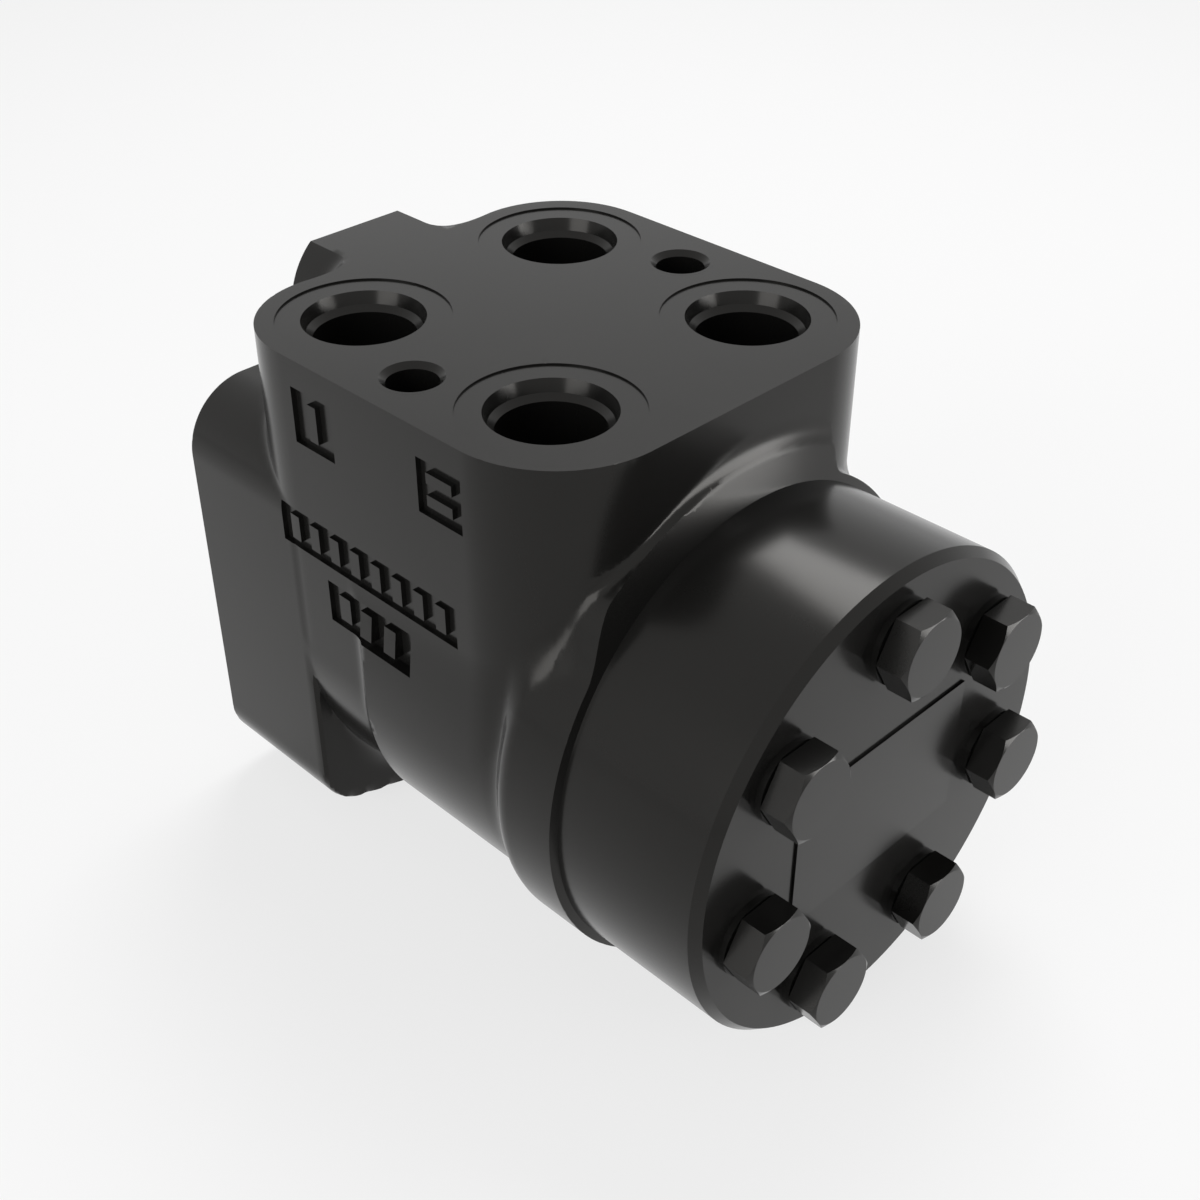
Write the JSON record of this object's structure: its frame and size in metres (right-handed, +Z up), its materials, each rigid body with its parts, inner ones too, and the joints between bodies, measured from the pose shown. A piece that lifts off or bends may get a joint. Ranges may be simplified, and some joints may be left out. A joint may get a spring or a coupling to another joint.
{
  "type": "steering valve",
  "caption": "Orbital hydrostatic steering valve: square column flange, port block with threaded ports on top, round body and a bolted rotor gear set at the rear.",
  "frame": {"origin": "centre of the column-mounting flange face, on the spool axis", "axes": "+X along the spool axis from the flange to the end cover, +Z up, out of the port face, and -Y out of the side wall by the tank and pump ports"},
  "size_m": [0.132, 0.089, 0.1038],
  "materials": {
    "paint": "satin",
    "screw_paint": "satin",
    "bright_steel": "ground",
    "spring_steel": "satin",
    "seal": "matt"
  },
  "bodies": {
    "housing_body": {"housing": "paint", "outer_race": "bright_steel", "needle_cage": "spring_steel", "needles": "bright_steel", "shaft_seal": "seal", "dust_seal": "seal", "distribution_plate": "paint", "gear_ring": "paint", "end_cover": "paint", "face_o_rings": "seal", "cover_screws": "screw_paint", "pin_screw": "screw_paint", "rolled_pin": "bright_steel", "washers": "screw_paint", "check_ball": "bright_steel", "valve_bush": "spring_steel", "name_plate": "screw_paint"},
    "sleeve_body": {"sleeve": "bright_steel", "cross_pin": "bright_steel", "centering_springs": "spring_steel", "spring_ring": "spring_steel", "inner_race": "bright_steel"},
    "spool_body": {"spool": "bright_steel"},
    "spacer_body": {"spacer": "bright_steel"},
    "rotor_body": {"rotor": "bright_steel"},
    "cardan_body": {"cardan_shaft": "bright_steel"}
  },
  "joints": [
    {"name": "rotor_orbit", "type": "hinge", "parent": "housing_body", "child": "spacer_body", "pos_m": [0.113, 0, 0], "axis": [1, 0, 0], "continuous": true},
    {"name": "rotor_spin", "type": "hinge", "parent": "spacer_body", "child": "rotor_body", "pos_m": [0.108, 0, 0.003], "axis": [1, 0, 0], "continuous": true},
    {"name": "cardan_spin", "type": "hinge", "parent": "spacer_body", "child": "cardan_body", "pos_m": [0.048, 0, 0], "axis": [0.9987, 0, 0.0509], "continuous": true},
    {"name": "sleeve_spin", "type": "hinge", "parent": "housing_body", "child": "sleeve_body", "pos_m": [0.048, 0, 0], "axis": [1, 0, 0], "continuous": true},
    {"name": "spool_deflect", "type": "hinge", "parent": "sleeve_body", "child": "spool_body", "pos_m": [0.048, 0, 0], "axis": [1, 0, 0], "range_deg": [-8, 8], "stiffness_Nm_per_rad": 2}
  ],
  "couplings": [
    {"joint": "rotor_spin", "follows": "rotor_orbit", "ratio": -1.1667},
    {"joint": "cardan_spin", "follows": "rotor_orbit", "ratio": -1.1667},
    {"joint": "sleeve_spin", "follows": "rotor_orbit", "ratio": -0.16667}
  ]
}
